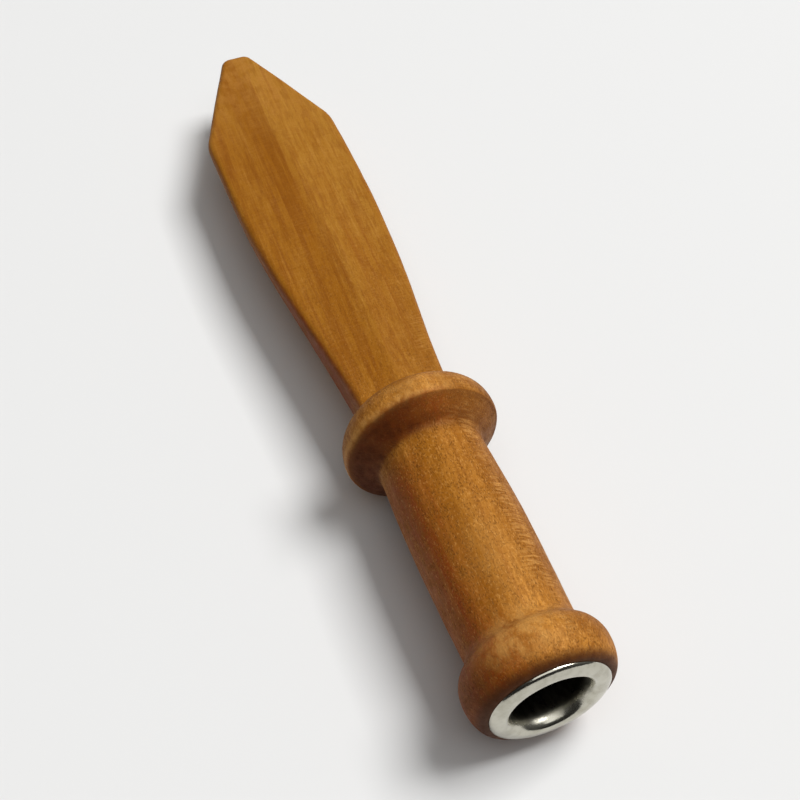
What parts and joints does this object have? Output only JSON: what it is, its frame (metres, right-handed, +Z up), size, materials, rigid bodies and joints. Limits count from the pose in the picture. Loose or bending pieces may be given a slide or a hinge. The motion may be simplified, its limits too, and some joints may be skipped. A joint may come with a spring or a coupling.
{
  "type": "wood edge slicker",
  "caption": "Hand tool for burnishing leather edges: a flat, tapered hardwood blade with a blunt point, a round collar, a turned handle and a metal eyelet in the butt.",
  "frame": {"origin": "under the middle of the tool's length, on the plane touched by the collar's rim, with the tool's axis 12.5 mm above it", "axes": "+Y along the tool from the butt to the blade's tip, +Z up, square to the blade's faces, +X across the blade"},
  "size_m": [0.025, 0.15, 0.025],
  "materials": {
    "oiled_wood": "oiled, satin",
    "nickel_plate": "bright nickel plate"
  },
  "bodies": {
    "root": {"wood_body": "oiled_wood", "eyelet": "nickel_plate"}
  },
  "joints": []
}
